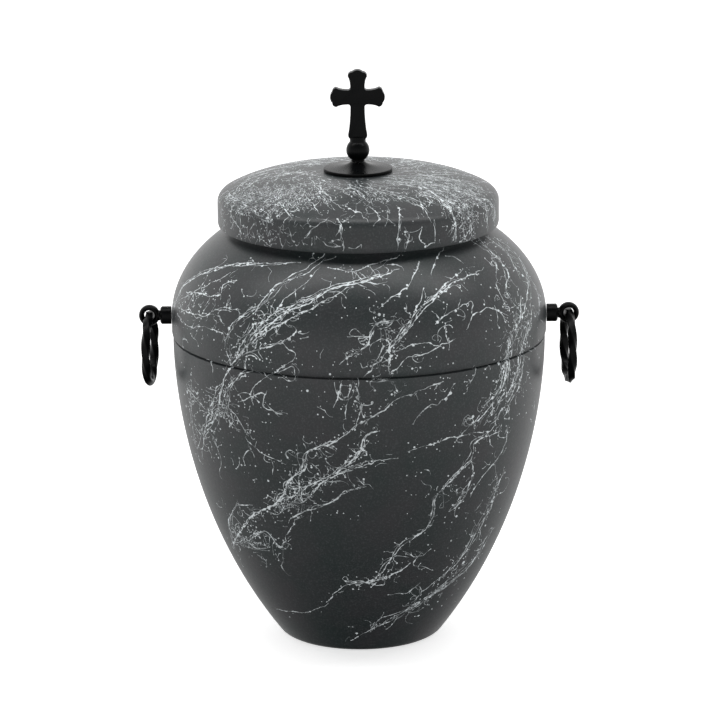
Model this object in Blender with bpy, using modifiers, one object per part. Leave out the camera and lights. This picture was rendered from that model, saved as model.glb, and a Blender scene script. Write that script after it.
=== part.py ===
"""A cremation urn: two spun metal shells, a domed lid that lifts off, a cross finial on a
small rosette, and a twisted drop ring hanging from an eye on each side.

Metres, +Z up. The origin is the centre of the underside, and the rings hang at +X and -X.
"""

import math

import bmesh
import bpy
from mathutils import Matrix, Vector

# Fits
GAP = 0.0003            # left between two pieces that touch
LID_PLAY = 0.0008       # the lid's turned-in edge around the neck
RING_PLAY = 0.0005      # the ring's bar in the hole of the eye

# Flats around each turned piece, and steps along its curves
SHELL_FACETS = 36
ROSETTE_FACETS = 32
FINIAL_FACETS = 18
COLLAR_FACETS = 20
EYE_FACETS = 18
EYE_NECK_FACETS = 16
RING_STEPS = 36
CORNER_STEPS = 3
FILLET_STEPS = 2
SIDE_STEPS = 7
SHOULDER_STEPS = 7
DOME_STEPS = 5
BALL_STEPS = 8
ARM_END_STEPS = 4
ROSETTE_STEPS = 5
EYE_SECTION_STEPS = 10
ROUNDING_PULL = 0.56    # how far towards the sharp corner a rounding is drawn, close to an arc of a circle

# Lower shell
BODY_RADIUS = 0.1085    # the urn at its widest, just above the seam
WALL = 0.0012           # the metal of both shells
BASE_RADIUS = 0.0458    # where the side would meet the table if the corner were sharp
BASE_ROUND = 0.0039     # length of that corner taken by its rounding, each way
SIDE_LEAN = math.radians(37.4)
SIDE_FULLNESS = 0.103   # how far up the lean at the base is felt
SIDE_TOP_PULL = 0.0076  # how far down from the seam the side stays upright
SEAM_HEIGHT = 0.180
SEAM_ROUND = 0.0014     # both edges at the seam are rolled in to this radius
SEAM_LAP = 0.010        # how far the lower shell stands up inside the upper one
LOWER_INSET = 0.0007    # the lower shell is this much smaller than the upper one at the seam

# Upper shell
WIDEST_ABOVE_SEAM = 0.011
SHOULDER_RISE = 0.0708  # height of the shoulder's quarter ellipse
NECK_RADIUS = 0.0740    # the upright neck that the lid goes over
NECK_FILLET = 0.0030

# Lid
LID_LIP = 0.0063        # width of the lid's turned-in edge
LID_WALL = 0.0013
LID_LIFT = 0.0064       # the lid's edge above the shoulder straight below it
LID_HEM = 0.0018        # length of the edge's corner taken by its rounding, each way
LID_CORNER = 0.0034     # length of the top corner taken by its rounding, each way
LID_SKIRT = 0.0176      # from the edge up to where the dome would meet the skirt
DOME_RISE = 0.0133      # from there up to the middle of the dome
DOME_POWER = 3.7        # a higher power makes the dome flatter in the middle and rounder at its edge

# Rosette
ROSETTE_RADIUS = 0.0198
ROSETTE_EDGE = 0.0017   # height of its upright rim
ROSETTE_HEIGHT = 0.0052
ROSETTE_TOP_MARGIN = 0.0003
SEAT_MARGIN = 0.0010    # the lid's flat seat beyond the rosette
ROSETTE_SCOOP = (0.13, 0.61)    # how sharply its hollow side drops from the middle, in shares of its spread
ROSETTE_FLARE = (0.55, 0.19)    # and drop, and how flat it runs out to the rim

# Finial
BALL_RADIUS = 0.0067
FINIAL_NECK_RADIUS = 0.0038
FINIAL_NECK_HEIGHT = 0.0009
CROSS_FOOT_RADIUS = 0.0046
CROSS_THICKNESS = 0.0052
CROSS_ROUND = 0.0012
CROSS_CENTRE = 0.0311   # from the middle of the ball up to the middle of the cross
ARM_LENGTH = 0.0157
TOP_ARM_LENGTH = 0.0158
SHAFT_LENGTH = 0.0245   # from the middle of the cross down to its foot
ARM_WAIST = 0.0041      # half the width of each arm beside the middle
ARM_END = 0.0055        # half the width of each arm at its end
ARM_CROWN = 0.0030      # how far the rounded end stands out
ARM_FILLET = 0.0014

# Handles
HANDLE_ABOVE_SEAM = 0.0105
COLLAR_RADIUS = 0.0052
COLLAR_LENGTH = 0.0063
COLLAR_CHAMFER = 0.0009
EYE_THICKNESS = 0.0031
EYE_WIDTH = 0.0062
EYE_NECK_RADIUS = 0.0030
RING_RADIUS = 0.0195    # centre line of the bar
BAR_SIDE = 0.0042       # the square bar across its flats
BAR_CHAMFER = 0.0007
BAR_TURNS = 2           # full twists around the ring
HANDLE_TURN = math.radians(5.0)  # the front of each eye and ring is turned outward

# Places and sizes worked out from the ones above
WIDEST_HEIGHT = SEAM_HEIGHT + WIDEST_ABOVE_SEAM
HANDLE_HEIGHT = SEAM_HEIGHT + HANDLE_ABOVE_SEAM
LID_RADIUS = NECK_RADIUS + LID_PLAY + LID_LIP
SEAM_LAP_RADIUS = BODY_RADIUS - LOWER_INSET - SEAM_ROUND
LOWER_EDGE = SEAM_HEIGHT - GAP / 2
UPPER_EDGE = SEAM_HEIGHT + GAP / 2
SEAT_RADIUS = ROSETTE_RADIUS + SEAT_MARGIN
ROSETTE_TOP_RADIUS = FINIAL_NECK_RADIUS + ROSETTE_TOP_MARGIN
EYE_HOLE_RADIUS = math.hypot(BAR_SIDE / 2, BAR_SIDE / 2 - BAR_CHAMFER) + RING_PLAY
EYE_RADIUS = EYE_HOLE_RADIUS + EYE_THICKNESS


def shoulder_height(radius):
    """Height of the shoulder's outer face at a radius."""
    return WIDEST_HEIGHT + SHOULDER_RISE * math.sqrt(1 - (radius / BODY_RADIUS) ** 2)


def shoulder_radius(height):
    """Radius of the upper shell's outer face at a height: upright up to the widest height, then the shoulder."""
    above = max(height - WIDEST_HEIGHT, 0)
    return BODY_RADIUS * math.sqrt(1 - (above / SHOULDER_RISE) ** 2)


LID_EDGE_HEIGHT = shoulder_height(LID_RADIUS) + LID_LIFT
LID_SHARP_HEIGHT = LID_EDGE_HEIGHT + LID_SKIRT


def dome_height(radius):
    """Height of the lid's outer face, which is flat under the rosette."""
    radius = max(radius, SEAT_RADIUS)
    return LID_SHARP_HEIGHT + DOME_RISE * (1 - (radius / LID_RADIUS) ** DOME_POWER)


NECK_SLOPE = math.atan(DOME_RISE * DOME_POWER / LID_RADIUS * (NECK_RADIUS / LID_RADIUS) ** (DOME_POWER - 1))
NECK_TOP = dome_height(NECK_RADIUS) - LID_WALL / math.cos(NECK_SLOPE) - GAP
ROSETTE_FOOT = dome_height(0) + GAP
FINIAL_FOOT = ROSETTE_FOOT + ROSETTE_HEIGHT + GAP
COLLAR_START = shoulder_radius(HANDLE_HEIGHT - COLLAR_RADIUS) + GAP
EYE_CENTRE = COLLAR_START + COLLAR_LENGTH + GAP + EYE_RADIUS


def curve(a, pull_a, pull_b, b, steps):
    """Points of a cubic curve in the profile plane, from a up to but not including b."""
    points = []
    for i in range(steps):
        t = i / steps
        weights = ((1 - t) ** 3, 3 * t * (1 - t) ** 2, 3 * t * t * (1 - t), t**3)
        points.append(sum((w * Vector(p) for w, p in zip(weights, (a, pull_a, pull_b, b))), Vector((0, 0))))
    return points


def rounded(a, corner, b, steps):
    """The rounding of a sharp corner, from a to b, both ends included."""
    a, corner, b = Vector(a), Vector(corner), Vector(b)
    return curve(a, a.lerp(corner, ROUNDING_PULL), b.lerp(corner, ROUNDING_PULL), b, steps) + [b]


def inset(path, wall):
    """The same path moved one wall thickness to its inner side."""
    moved = []
    for i, point in enumerate(path):
        before = (point - path[i - 1]).normalized() if i > 0 else None
        after = (path[i + 1] - point).normalized() if i < len(path) - 1 else None
        first, second = before or after, after or before
        along = (first + second).normalized()
        inward = Vector((along.y, -along.x))
        moved.append(point + inward * wall / max(along.dot(first), 0.5))
    return moved


def material(name, colour, roughness, metallic):
    """A plain Principled material."""
    made = bpy.data.materials.new(name)
    made.use_nodes = True
    shader = made.node_tree.nodes["Principled BSDF"]
    shader.inputs["Base Color"].default_value = (*colour, 1)
    shader.inputs["Roughness"].default_value = roughness
    shader.inputs["Metallic"].default_value = metallic
    return made


def place(name, data, finish, collection, parent=None):
    """Links a mesh or curve as one named piece."""
    piece = bpy.data.objects.new(name, data)
    data.materials.append(finish)
    collection.objects.link(piece)
    piece.parent = parent
    return piece


def turned(name, profile, closed, facets, finish, collection, parent=None):
    """A profile of (radius, height) points turned about Z."""
    mesh = bpy.data.meshes.new(name)
    edges = [(i, i + 1) for i in range(len(profile) - 1)]
    if closed:
        edges.append((len(profile) - 1, 0))
    mesh.from_pydata([(p[0], 0, p[1]) for p in profile], edges, [])
    piece = place(name, mesh, finish, collection, parent)
    screw = piece.modifiers.new("Turn", "SCREW")
    screw.steps = screw.render_steps = facets
    screw.use_merge_vertices = True
    screw.merge_threshold = 0.00001
    screw.use_smooth_shade = True
    return piece


def join(piece, other):
    """Unites another piece's solid with this one, and leaves the other as a hidden helper."""
    union = piece.modifiers.new("Join " + other.name, "BOOLEAN")
    union.operation = "UNION"
    union.object = other
    other.hide_render = True
    other.display_type = "WIRE"


def lower_shell(collection, finish):
    """The spun bowl: flat base, swelling side, rolled top edge and a lap that stands inside the upper shell."""
    widest = BODY_RADIUS - LOWER_INSET
    side_top = Vector((widest, LOWER_EDGE - SEAM_ROUND))
    foot = Vector((BASE_RADIUS, 0))
    lean = Vector((math.sin(SIDE_LEAN), math.cos(SIDE_LEAN)))
    side_start = foot + lean * BASE_ROUND
    path = [Vector((SEAM_LAP_RADIUS, SEAM_HEIGHT + SEAM_LAP))]
    path += rounded((SEAM_LAP_RADIUS, LOWER_EDGE), (widest, LOWER_EDGE), side_top, CORNER_STEPS)[:-1]
    upright = side_top - Vector((0, SIDE_TOP_PULL))
    path += curve(side_top, upright, foot + lean * SIDE_FULLNESS, side_start, SIDE_STEPS)
    path += rounded(side_start, foot, foot - Vector((BASE_ROUND, 0)), CORNER_STEPS)
    path.append(Vector((0, 0)))
    inner = inset(path, WALL)
    inner[-1].x = 0
    return turned("lower_shell", list(reversed(inner)) + path, False, SHELL_FACETS, finish, collection)


def upper_shell(collection, finish):
    """The spun shoulder: upright neck, quarter-ellipse shoulder and an edge rolled in at the seam."""
    neck_angle = math.acos(NECK_RADIUS / BODY_RADIUS)
    start_angle = math.acos((NECK_RADIUS + NECK_FILLET) / BODY_RADIUS)

    def on_shoulder(angle):
        return Vector((BODY_RADIUS * math.cos(angle), WIDEST_HEIGHT + SHOULDER_RISE * math.sin(angle)))

    path = [Vector((NECK_RADIUS, NECK_TOP))]
    neck_foot = on_shoulder(neck_angle)
    path += rounded(neck_foot + Vector((0, NECK_FILLET)), neck_foot, on_shoulder(start_angle), FILLET_STEPS)
    path += [on_shoulder(start_angle * (1 - i / SHOULDER_STEPS)) for i in range(1, SHOULDER_STEPS + 1)]
    edge_start = (BODY_RADIUS, UPPER_EDGE + SEAM_ROUND)
    path += rounded(edge_start, (BODY_RADIUS, UPPER_EDGE), (SEAM_LAP_RADIUS + GAP, UPPER_EDGE), CORNER_STEPS)
    return turned("upper_shell", path + list(reversed(inset(path, WALL))), True, SHELL_FACETS, finish, collection)


def lid(collection, finish):
    """The spun lid: a flat seat for the rosette, a low dome, an upright skirt and a turned-in edge."""
    corner = Vector((LID_RADIUS, LID_SHARP_HEIGHT))
    dome_end = LID_RADIUS - LID_CORNER
    path = [Vector((0, dome_height(0)))]
    for i in range(DOME_STEPS):
        radius = SEAT_RADIUS + (dome_end - SEAT_RADIUS) * math.sqrt(i / DOME_STEPS)
        path.append(Vector((radius, dome_height(radius))))
    path += rounded((dome_end, dome_height(dome_end)), corner, corner - Vector((0, LID_CORNER)), CORNER_STEPS)
    hem_start = (LID_RADIUS, LID_EDGE_HEIGHT + LID_HEM)
    hem_corner = (LID_RADIUS, LID_EDGE_HEIGHT)
    path += rounded(hem_start, hem_corner, (LID_RADIUS - LID_HEM, LID_EDGE_HEIGHT), CORNER_STEPS)
    path.append(Vector((NECK_RADIUS + LID_PLAY, LID_EDGE_HEIGHT)))
    inner = inset(path, LID_WALL)
    inner[0].x = 0
    return turned("lid", path + list(reversed(inner)), False, SHELL_FACETS, finish, collection)


def rosette(collection, finish):
    """The small saucer under the finial: a flat foot, a thin upright rim and a hollow-sided rise to the middle."""
    rim_top = Vector((ROSETTE_RADIUS, ROSETTE_FOOT + ROSETTE_EDGE))
    top = Vector((ROSETTE_TOP_RADIUS, ROSETTE_FOOT + ROSETTE_HEIGHT))
    side = rim_top - top
    pull_top = top + side * Vector(ROSETTE_SCOOP)
    pull_rim = rim_top - side * Vector(ROSETTE_FLARE)
    profile = [Vector((0, top.y))] + curve(top, pull_top, pull_rim, rim_top, ROSETTE_STEPS)
    profile += [rim_top, Vector((ROSETTE_RADIUS, ROSETTE_FOOT)), Vector((0, ROSETTE_FOOT))]
    return turned("rosette", profile, False, ROSETTE_FACETS, finish, collection)


def cross_outline():
    """The cross seen from the front, its middle at (0, 0): four arms that widen to rounded ends."""
    arms = ((0, ARM_LENGTH, ARM_CROWN), (90, TOP_ARM_LENGTH, ARM_CROWN), (180, ARM_LENGTH, ARM_CROWN),
            (270, SHAFT_LENGTH, 0))
    outline = []
    for degrees, length, crown in arms:
        turn = Matrix.Rotation(math.radians(degrees), 2)
        start = ARM_WAIST + ARM_FILLET
        inner_corner = Vector((ARM_WAIST, -ARM_WAIST))
        fillet = rounded(inner_corner - Vector((0, ARM_FILLET)), inner_corner, (start, -ARM_WAIST), FILLET_STEPS)
        end = []
        end_steps = ARM_END_STEPS if crown else 1
        for i in range(end_steps + 1):
            across = -1 + 2 * i / end_steps
            end.append(Vector((length - crown * across * across, ARM_END * across)))
        outline += [turn @ p for p in fillet + end]
    return outline


def cross_finial(collection, helpers, finish):
    """One casting: a short neck, a ball, and a flat cross with softened edges standing on it."""
    ball_centre = FINIAL_FOOT + FINIAL_NECK_HEIGHT + math.sqrt(BALL_RADIUS**2 - FINIAL_NECK_RADIUS**2)
    cross_middle = ball_centre + CROSS_CENTRE
    cross_foot = cross_middle - SHAFT_LENGTH
    top_angle = math.acos(CROSS_FOOT_RADIUS / BALL_RADIUS)
    neck_angle = -math.acos(FINIAL_NECK_RADIUS / BALL_RADIUS)
    profile = [(0, cross_foot + CROSS_ROUND), (CROSS_FOOT_RADIUS, cross_foot + CROSS_ROUND)]
    for i in range(BALL_STEPS + 1):
        angle = top_angle + (neck_angle - top_angle) * i / BALL_STEPS
        profile.append((BALL_RADIUS * math.cos(angle), ball_centre + BALL_RADIUS * math.sin(angle)))
    profile += [(FINIAL_NECK_RADIUS, FINIAL_FOOT), (0, FINIAL_FOOT)]
    ball = turned("cross_finial", profile, False, FINIAL_FACETS, finish, collection)

    mesh = bpy.data.meshes.new("cross")
    build = bmesh.new()
    front = [build.verts.new((p.x, -CROSS_THICKNESS / 2, cross_middle + p.y)) for p in cross_outline()]
    face = build.faces.new(front)
    back = bmesh.ops.extrude_face_region(build, geom=[face])["geom"]
    moved = [v for v in back if isinstance(v, bmesh.types.BMVert)]
    bmesh.ops.translate(build, verts=moved, vec=(0, CROSS_THICKNESS, 0))
    bmesh.ops.recalc_face_normals(build, faces=build.faces)
    build.to_mesh(mesh)
    build.free()
    cross = place("cross", mesh, finish, helpers)
    soften = cross.modifiers.new("Soften", "BEVEL")
    soften.width = CROSS_ROUND
    soften.segments = 2
    soften.limit_method = "ANGLE"
    soften.angle_limit = math.radians(50)
    join(ball, cross)
    return ball


def collar(name, finish, collection, parent):
    """The short round boss on the wall, with a chamfered outer end."""
    profile = [(0, COLLAR_LENGTH), (COLLAR_RADIUS - COLLAR_CHAMFER, COLLAR_LENGTH),
               (COLLAR_RADIUS, COLLAR_LENGTH - COLLAR_CHAMFER), (COLLAR_RADIUS, 0), (0, 0)]
    piece = turned(name, profile, False, COLLAR_FACETS, finish, collection, parent)
    piece.location = (COLLAR_START, 0, 0)
    piece.rotation_euler = (0, math.radians(90), 0)
    return piece


def eye(name, finish, collection, helpers, parent):
    """The thick round eye, whose hole runs front to back, with a short neck that butts on the collar."""
    middle = EYE_HOLE_RADIUS + EYE_THICKNESS / 2
    section = []
    for i in range(EYE_SECTION_STEPS):
        angle = math.radians(90) - math.tau * i / EYE_SECTION_STEPS
        section.append((middle + EYE_THICKNESS / 2 * math.cos(angle), EYE_WIDTH / 2 * math.sin(angle)))
    piece = turned(name, section, True, EYE_FACETS, finish, collection, parent)
    piece.rotation_euler = (math.radians(90), 0, 0)
    stem = [(0, EYE_RADIUS), (EYE_NECK_RADIUS, EYE_RADIUS), (EYE_NECK_RADIUS, middle), (0, middle)]
    neck = turned(name + "_neck", stem, False, EYE_NECK_FACETS, finish, helpers, parent)
    neck.rotation_euler = (0, math.radians(-90), 0)
    join(piece, neck)
    return piece


def bar_section(helpers):
    """The square bar cut across, with its four edges taken off."""
    half = BAR_SIDE / 2
    spline_points = []
    for corner in range(4):
        turn = Matrix.Rotation(math.radians(90 * corner), 2)
        spline_points += [turn @ Vector((half, half - BAR_CHAMFER)), turn @ Vector((half - BAR_CHAMFER, half))]
    data = bpy.data.curves.new("bar_section", "CURVE")
    data.dimensions = "2D"
    spline = data.splines.new("POLY")
    spline.points.add(len(spline_points) - 1)
    for target, point in zip(spline.points, reversed(spline_points)):
        target.co = (point.x, point.y, 0, 1)
    spline.use_cyclic_u = True
    section = bpy.data.objects.new("bar_section", data)
    helpers.objects.link(section)
    section.hide_render = True
    section.display_type = "WIRE"
    return section


def ring(name, section, finish, collection, parent):
    """A ring of twisted square bar, hanging from its top, which is the hinge."""
    data = bpy.data.curves.new(name, "CURVE")
    data.dimensions = "3D"
    data.twist_mode = "MINIMUM"
    data.bevel_mode = "OBJECT"
    data.bevel_object = section
    spline = data.splines.new("POLY")
    spline.points.add(RING_STEPS - 1)
    for i, point in enumerate(spline.points):
        angle = math.tau * i / RING_STEPS
        point.co = (0, RING_RADIUS * math.sin(angle), RING_RADIUS * (math.cos(angle) - 1), 1)
        point.tilt = -BAR_TURNS * angle
    spline.use_cyclic_u = True
    return place(name, data, finish, collection, parent)


def handle(side, facing, turn, section, finish, collection, helpers):
    """Collar, eye and ring on one side. The eye and the ring share the hinge's empty."""
    mount = bpy.data.objects.new(side + "_handle", None)
    mount.location = (0, 0, HANDLE_HEIGHT)
    mount.rotation_euler = (0, 0, facing)
    collection.objects.link(mount)
    hinge = bpy.data.objects.new(side + "_hinge", None)
    hinge.parent = mount
    hinge.location = (EYE_CENTRE, 0, 0)
    hinge.rotation_euler = (0, 0, turn)
    collection.objects.link(hinge)
    collar(side + "_collar", finish, collection, mount)
    eye(side + "_eye", finish, collection, helpers, hinge)
    ring(side + "_ring", section, finish, collection, hinge)


def smooth_round_faces(collection):
    """Smooth shading, with real corners kept sharp."""
    for piece in collection.objects:
        if piece.type == "MESH":
            piece.data.shade_smooth()
            piece.data.set_sharp_from_angle(angle=math.radians(35))


def build_urn():
    for leftover in list(bpy.data.objects):
        bpy.data.objects.remove(leftover, do_unlink=True)
    urn = bpy.data.collections.new("cremation_urn")
    helpers = bpy.data.collections.new("helpers")
    bpy.context.scene.collection.children.link(urn)
    bpy.context.scene.collection.children.link(helpers)
    marbled = material("marbled_paint", (0.045, 0.047, 0.050), 0.55, 0.0)
    black = material("black_paint", (0.008, 0.008, 0.009), 0.42, 0.0)

    lower_shell(urn, marbled)
    upper_shell(urn, marbled)
    lid(urn, marbled)
    rosette(urn, black)
    cross_finial(urn, helpers, black)
    section = bar_section(helpers)
    handle("right", 0, HANDLE_TURN, section, black, urn, helpers)
    handle("left", math.pi, -HANDLE_TURN, section, black, urn, helpers)
    smooth_round_faces(urn)


build_urn()
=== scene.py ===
import math

import bpy
import numpy as np
from mathutils import Matrix, Vector


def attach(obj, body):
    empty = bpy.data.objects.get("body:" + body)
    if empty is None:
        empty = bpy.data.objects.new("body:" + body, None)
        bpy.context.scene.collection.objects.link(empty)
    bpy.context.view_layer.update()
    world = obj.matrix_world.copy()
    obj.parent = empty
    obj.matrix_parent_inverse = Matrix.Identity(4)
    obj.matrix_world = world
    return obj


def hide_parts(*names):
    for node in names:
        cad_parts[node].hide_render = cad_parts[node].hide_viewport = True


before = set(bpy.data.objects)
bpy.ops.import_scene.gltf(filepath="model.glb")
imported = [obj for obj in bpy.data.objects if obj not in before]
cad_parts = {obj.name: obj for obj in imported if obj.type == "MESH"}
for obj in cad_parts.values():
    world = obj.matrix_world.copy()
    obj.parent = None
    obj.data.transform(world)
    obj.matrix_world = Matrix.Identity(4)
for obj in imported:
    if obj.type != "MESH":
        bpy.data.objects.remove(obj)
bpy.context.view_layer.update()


# Lower shell: a bowl spun from 1.2 mm sheet, flat underneath, its side swelling up to a rolled top edge.
# Inside that edge a plain lap stands up into the upper shell. It is hollow and open, plain charcoal inside.

MM = 0.001
GAP = 0.0003            # air between pieces that fit together
WALL = 0.0012           # the metal of both shells
BODY_RADIUS = 0.1085
SEAM_HEIGHT = 0.180
SEAM_ROUND = 0.0014     # the rolled edges at the seam
SEAM_LAP = 0.010
LOWER_INSET = 0.0007    # the bowl is this much narrower than the shoulder
SEAM_LAP_RADIUS = BODY_RADIUS - LOWER_INSET - SEAM_ROUND
BASE_RADIUS = 0.0458
BASE_ROUND = 0.0039
SIDE_LEAN = math.radians(37.4)
SIDE_FULLNESS = 0.103
SIDE_TOP_PULL = 0.0076
ROUNDING_PULL = 0.56    # makes a cubic curve nearly round
SIDE_STEPS = 120
AROUND = 432            # quads around each shell
ROW = 0.0016            # about the height of each row of quads on the side that shows
INNER_ROW = 0.008
TOUCH = 1e-6            # points nearer than this are one point
HARD_TURN = 0.5         # radians; a path keeps its own point where it turns more sharply
MITRE_LIMIT = 0.5       # holds back the corners of an inset path
CRISP_EDGE = math.radians(40)


def curve(a, pull_a, pull_b, b, steps):
    """Points of a cubic curve in the profile plane, both ends included."""
    t = np.linspace(0, 1, steps + 1)[:, None]
    a, pull_a, pull_b, b = (np.array(p, float) for p in (a, pull_a, pull_b, b))
    return (1 - t) ** 3 * a + 3 * t * (1 - t) ** 2 * pull_a + 3 * t * t * (1 - t) * pull_b + t**3 * b


def rounded(a, corner, b, steps=12):
    """The rounding of a sharp corner, from a to b."""
    a, corner, b = (np.array(p, float) for p in (a, corner, b))
    return curve(a, a + (corner - a) * ROUNDING_PULL, b + (corner - b) * ROUNDING_PULL, b, steps)


def joined(*runs):
    """One path from several runs of points, without the points that come twice."""
    path = np.vstack([np.atleast_2d(np.array(run, float)) for run in runs])
    keep = np.r_[True, np.linalg.norm(np.diff(path, axis=0), axis=1) > TOUCH]
    return path[keep]


def along(path):
    """Distance along a path to each of its points."""
    return np.r_[0, np.cumsum(np.linalg.norm(np.diff(path, axis=0), axis=1))]


def spaced(path, step):
    """The path again in nearly equal steps, sharp turns kept as its own points."""
    far = along(path)
    heading = np.unwrap(np.arctan2(*np.diff(path, axis=0).T))
    turns = [i + 1 for i, turn in enumerate(np.diff(heading)) if abs(turn) > HARD_TURN]
    ends = [0] + turns + [len(path) - 1]
    places = []
    for a, b in zip(ends[:-1], ends[1:]):
        count = max(1, round((far[b] - far[a]) / step))
        places.append(np.linspace(far[a], far[b], count + 1)[(1 if places else 0):])
    places = np.concatenate(places)
    return np.column_stack([np.interp(places, far, path[:, 0]), np.interp(places, far, path[:, 1])])


def inset(path, wall):
    """The path moved one wall thickness to its inner side."""
    heading = np.diff(path, axis=0)
    heading /= np.linalg.norm(heading, axis=1)[:, None]
    before = np.vstack([heading[:1], heading])
    after = np.vstack([heading, heading[-1:]])
    mean = before + after
    mean /= np.linalg.norm(mean, axis=1)[:, None]
    reach = wall / np.maximum((mean * before).sum(axis=1), MITRE_LIMIT)
    return path + np.column_stack([mean[:, 1], -mean[:, 0]]) * reach[:, None]


def placed(name, data):
    """A mesh, light or camera as an object in the scene."""
    made = bpy.data.objects.new(name, data)
    bpy.context.scene.collection.objects.link(made)
    return made


def turned(name, rows, closed=False, around=AROUND):
    """A closed solid turned about Z. Rows run down the outside; a row on the axis becomes one point."""
    azimuth = np.arange(around) * math.tau / around
    points, first = [], []
    for radius, height in rows:
        first.append(sum(len(p) for p in points))
        if radius < TOUCH:
            points.append(np.array([[0, 0, height]]))
        else:
            points.append(np.column_stack([radius * np.sin(azimuth), -radius * np.cos(azimuth),
                                           np.full(around, height)]))
    faces = []
    pairs = list(zip(range(len(rows) - 1), range(1, len(rows))))
    if closed:
        pairs.append((len(rows) - 1, 0))
    for upper, lower in pairs:
        one_above, one_below = len(points[upper]) == 1, len(points[lower]) == 1
        for i in range(around):
            j = (i + 1) % around
            a, b = (first[upper] + (0 if one_above else i)), (first[lower] + (0 if one_below else i))
            c, d = (first[lower] + (0 if one_below else j)), (first[upper] + (0 if one_above else j))
            if one_above and one_below:
                continue
            faces.append((a, b, c) if one_above else (a, b, d) if one_below else (a, b, c, d))
    mesh = bpy.data.meshes.new(name)
    mesh.from_pydata(np.vstack(points).tolist(), [], faces)
    mesh.shade_smooth()
    mesh.set_sharp_from_angle(angle=CRISP_EDGE)
    return placed(name, mesh)


side_top = (BODY_RADIUS - LOWER_INSET, SEAM_HEIGHT - GAP / 2 - SEAM_ROUND)
lean = np.array([math.sin(SIDE_LEAN), math.cos(SIDE_LEAN)])
foot = np.array([BASE_RADIUS, 0])
side_start = foot + lean * BASE_ROUND
lap = [(SEAM_LAP_RADIUS, SEAM_HEIGHT + SEAM_LAP), (SEAM_LAP_RADIUS, SEAM_HEIGHT - GAP / 2)]
rolled_edge = rounded(lap[1], (side_top[0], lap[1][1]), side_top)
side = curve(side_top, (side_top[0], side_top[1] - SIDE_TOP_PULL), foot + lean * SIDE_FULLNESS, side_start,
             SIDE_STEPS)
base_corner = rounded(side_start, foot, (BASE_RADIUS - BASE_ROUND, 0))
lower_outer = spaced(joined(rolled_edge, side, base_corner), ROW)
lower_path = joined(lap[0], lower_outer, (0, 0))
lower_inner = spaced(inset(joined(lap, rolled_edge, side, base_corner, (0, 0)), WALL), INNER_ROW)
lower_inner[-1, 0] = 0
lower_rows = np.vstack([lower_inner[::-1], lower_path])
lower_shell = turned("bowl", lower_rows)
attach(lower_shell, "urn")
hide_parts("lower_shell")


# Upper shell: spun from the same sheet, a quarter-ellipse shoulder that turns up into a plain neck.
# Its lower edge is rolled in over the lap, so that the seam shows as a thin dark line.

WIDEST_ABOVE_SEAM = 0.011
WIDEST_HEIGHT = SEAM_HEIGHT + WIDEST_ABOVE_SEAM
SHOULDER_RISE = 0.0708
NECK_RADIUS = 0.0740
NECK_FILLET = 0.0030
LID_PLAY = 0.0008       # air around the neck
LID_LIP = 0.0063        # from there out to the skirt
LID_RADIUS = NECK_RADIUS + LID_PLAY + LID_LIP
LID_WALL = 0.0013
LID_LIFT = 0.0064       # the lid's edge above the shoulder under it
LID_HEM = 0.0018
LID_CORNER = 0.0034
LID_SKIRT = 0.0176
DOME_RISE = 0.0133
DOME_POWER = 3.7        # a higher power makes the dome flatter in the middle and rounder at its edge
ROSETTE_RADIUS = 0.0198
SEAT_MARGIN = 0.0010    # the flat seat reaches this far past the rosette
SEAT_RADIUS = ROSETTE_RADIUS + SEAT_MARGIN


def on_shoulder(angle):
    """A point of the shoulder's outer face; 0 is its widest place."""
    return (BODY_RADIUS * math.cos(angle), WIDEST_HEIGHT + SHOULDER_RISE * math.sin(angle))


LID_EDGE_HEIGHT = on_shoulder(math.acos(LID_RADIUS / BODY_RADIUS))[1] + LID_LIFT
LID_SHARP_HEIGHT = LID_EDGE_HEIGHT + LID_SKIRT


def dome_height(radius):
    """Height of the lid's outer face, which is flat under the rosette."""
    radius = max(radius, SEAT_RADIUS)
    return LID_SHARP_HEIGHT + DOME_RISE * (1 - (radius / LID_RADIUS) ** DOME_POWER)


neck_slope = math.atan(DOME_RISE * DOME_POWER / LID_RADIUS
                       * (NECK_RADIUS / LID_RADIUS) ** (DOME_POWER - 1))
neck_top = dome_height(NECK_RADIUS) - LID_WALL / math.cos(neck_slope) - GAP
neck_foot = np.array(on_shoulder(math.acos(NECK_RADIUS / BODY_RADIUS)))
start_angle = math.acos((NECK_RADIUS + NECK_FILLET) / BODY_RADIUS)
neck_turn = rounded(neck_foot + (0, NECK_FILLET), neck_foot, on_shoulder(start_angle), 6)
shoulder = [on_shoulder(a) for a in np.linspace(start_angle, 0, SIDE_STEPS)]
upper_edge = SEAM_HEIGHT + GAP / 2
rolled_in = rounded((BODY_RADIUS, upper_edge + SEAM_ROUND), (BODY_RADIUS, upper_edge),
                    (SEAM_LAP_RADIUS + GAP, upper_edge))
upper_outer = spaced(joined(neck_turn, shoulder, rolled_in), ROW)
neck_rows = spaced(joined((NECK_RADIUS, neck_top), neck_turn[0]), INNER_ROW)
upper_path = joined(neck_rows, upper_outer)
upper_inner = spaced(inset(joined((NECK_RADIUS, neck_top), neck_turn, shoulder, rolled_in), WALL),
                     INNER_ROW)
upper_rows = np.vstack([upper_path, upper_inner[::-1]])
upper_shell = turned("shoulder", upper_rows, closed=True)
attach(upper_shell, "urn")
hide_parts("upper_shell")


# Lid: one spun piece, a low dome with a flat seat in the middle, a soft corner and an upright skirt.
# The edge is turned in to the neck, and the lid simply lifts off.

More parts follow.
